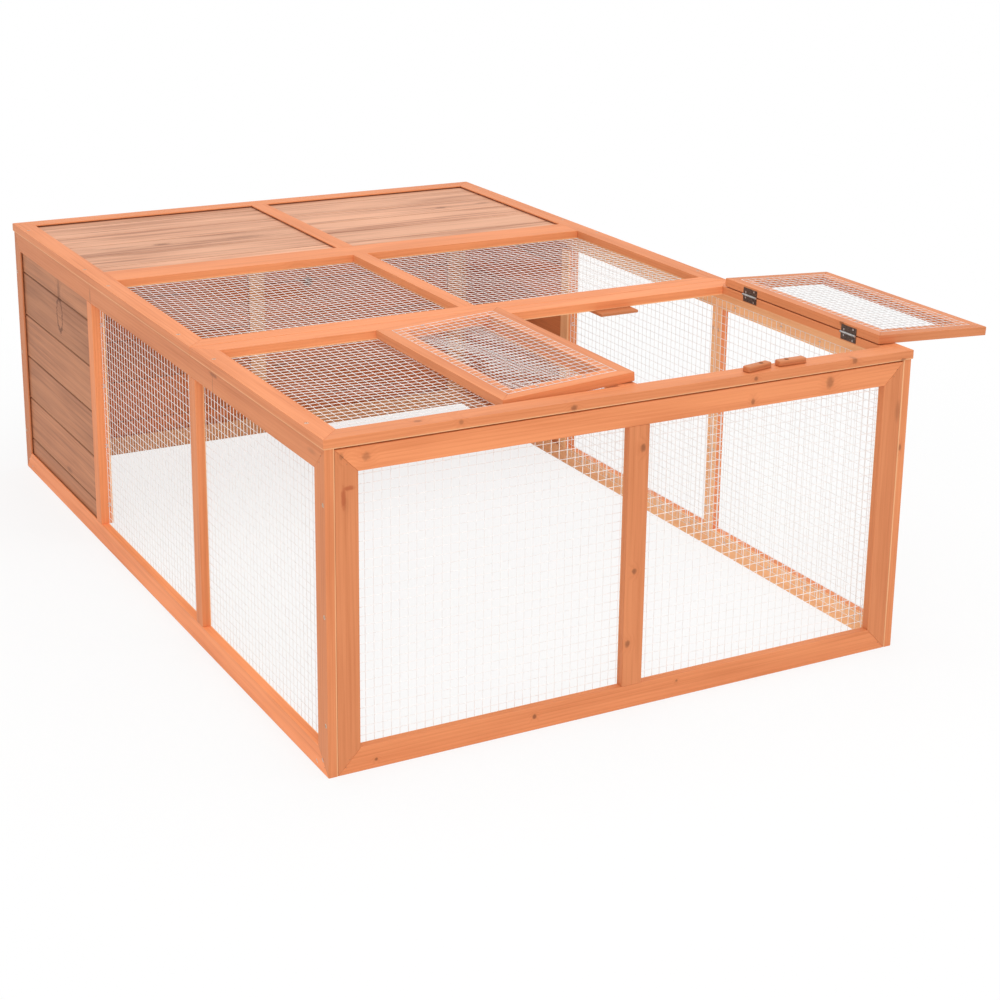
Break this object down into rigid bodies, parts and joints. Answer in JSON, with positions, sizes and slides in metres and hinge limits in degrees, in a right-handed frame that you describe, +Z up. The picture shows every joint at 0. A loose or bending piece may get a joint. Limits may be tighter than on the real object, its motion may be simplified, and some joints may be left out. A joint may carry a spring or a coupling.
{
  "type": "outdoor pet cage",
  "caption": "Low outdoor pet run of stained timber frames with wire mesh bays, a boarded shelter end and a roof hatch whose hinged doors are held shut by turn buttons.",
  "frame": {"origin": "on the ground, at the centre of the footprint of the four walls", "axes": "+X to the right seen from the mesh front, +Y along the length to the boarded rear, +Z up"},
  "size_m": [1.185, 1.5, 0.5163],
  "materials": {
    "stained_frame": "orange stain, satin",
    "stained_board": "thin brown stain, matt",
    "galvanised_wire": "galvanised",
    "bronzed_steel": "dark bronzed",
    "zinc_steel": "zinc plated"
  },
  "bodies": {
    "cage": {"door_stop_ledges": "stained_frame", "frame_screws": "zinc_steel", "front_bottom_rail": "stained_frame", "front_centre_stile": "stained_frame", "front_corner_stiles": "stained_frame", "front_left_mesh": "galvanised_wire", "front_right_mesh": "galvanised_wire", "front_roof_centre_bar": "stained_frame", "front_roof_front_rail": "stained_frame", "front_roof_left_rail": "stained_frame", "front_roof_mesh": "galvanised_wire", "front_roof_rear_rail": "stained_frame", "front_roof_right_rail": "stained_frame", "front_top_rail": "stained_frame", "hinge_pins": "zinc_steel", "left_board_stile": "stained_frame", "left_boards": "stained_board", "left_bottom_rail": "stained_frame", "left_front_mesh": "galvanised_wire", "left_front_stile": "stained_frame", "left_middle_mesh": "galvanised_wire", "left_middle_stile": "stained_frame", "left_rear_stile": "stained_frame", "left_top_rail": "stained_frame", "rear_boards": "stained_board", "rear_bottom_rail": "stained_frame", "rear_centre_stile": "stained_frame", "rear_corner_stiles": "stained_frame", "rear_roof_boards": "stained_board", "rear_roof_front_rail": "stained_frame", "rear_roof_left_mesh": "galvanised_wire", "rear_roof_left_rail": "stained_frame", "rear_roof_middle_bar": "stained_frame", "rear_roof_middle_rail": "stained_frame", "rear_roof_rear_bar": "stained_frame", "rear_roof_rear_rail": "stained_frame", "rear_roof_right_mesh": "galvanised_wire", "rear_roof_right_rail": "stained_frame", "rear_top_rail": "stained_frame", "right_board_stile": "stained_frame", "right_boards": "stained_board", "right_bottom_rail": "stained_frame", "right_front_mesh": "galvanised_wire", "right_front_stile": "stained_frame", "right_middle_mesh": "galvanised_wire", "right_middle_stile": "stained_frame", "right_rear_stile": "stained_frame", "right_top_rail": "stained_frame", "roof_hinge_leaves": "bronzed_steel", "turn_button_screws": "zinc_steel"},
    "left_door": {"left_door_hinge_leaves": "bronzed_steel", "left_door_mesh": "galvanised_wire", "left_door_rails": "stained_frame", "left_door_stiles": "stained_frame"},
    "right_door": {"right_door_hinge_leaves": "bronzed_steel", "right_door_mesh": "galvanised_wire", "right_door_rails": "stained_frame", "right_door_stiles": "stained_frame"},
    "left_button": {"left_turn_button": "stained_frame"},
    "right_button": {"right_turn_button": "stained_frame"}
  },
  "joints": [
    {"name": "left_door_hinge", "type": "hinge", "parent": "cage", "child": "left_door", "pos_m": [0.017, -0.4965, 0.50085], "axis": [0, 1, 0], "range_deg": [0, 183.49]},
    {"name": "right_door_hinge", "type": "hinge", "parent": "cage", "child": "right_door", "pos_m": [0.463, -0.4965, 0.50085], "axis": [0, -1, 0], "range_deg": [0, 183.02]},
    {"name": "left_button_turn", "type": "hinge", "parent": "cage", "child": "left_button", "pos_m": [0.223, -0.73, 0.5046], "axis": [0, 0, 1], "range_deg": [-102, 78]},
    {"name": "right_button_turn", "type": "hinge", "parent": "cage", "child": "right_button", "pos_m": [0.27, -0.73, 0.5046], "axis": [0, 0, 1], "range_deg": [-90, 90]}
  ]
}
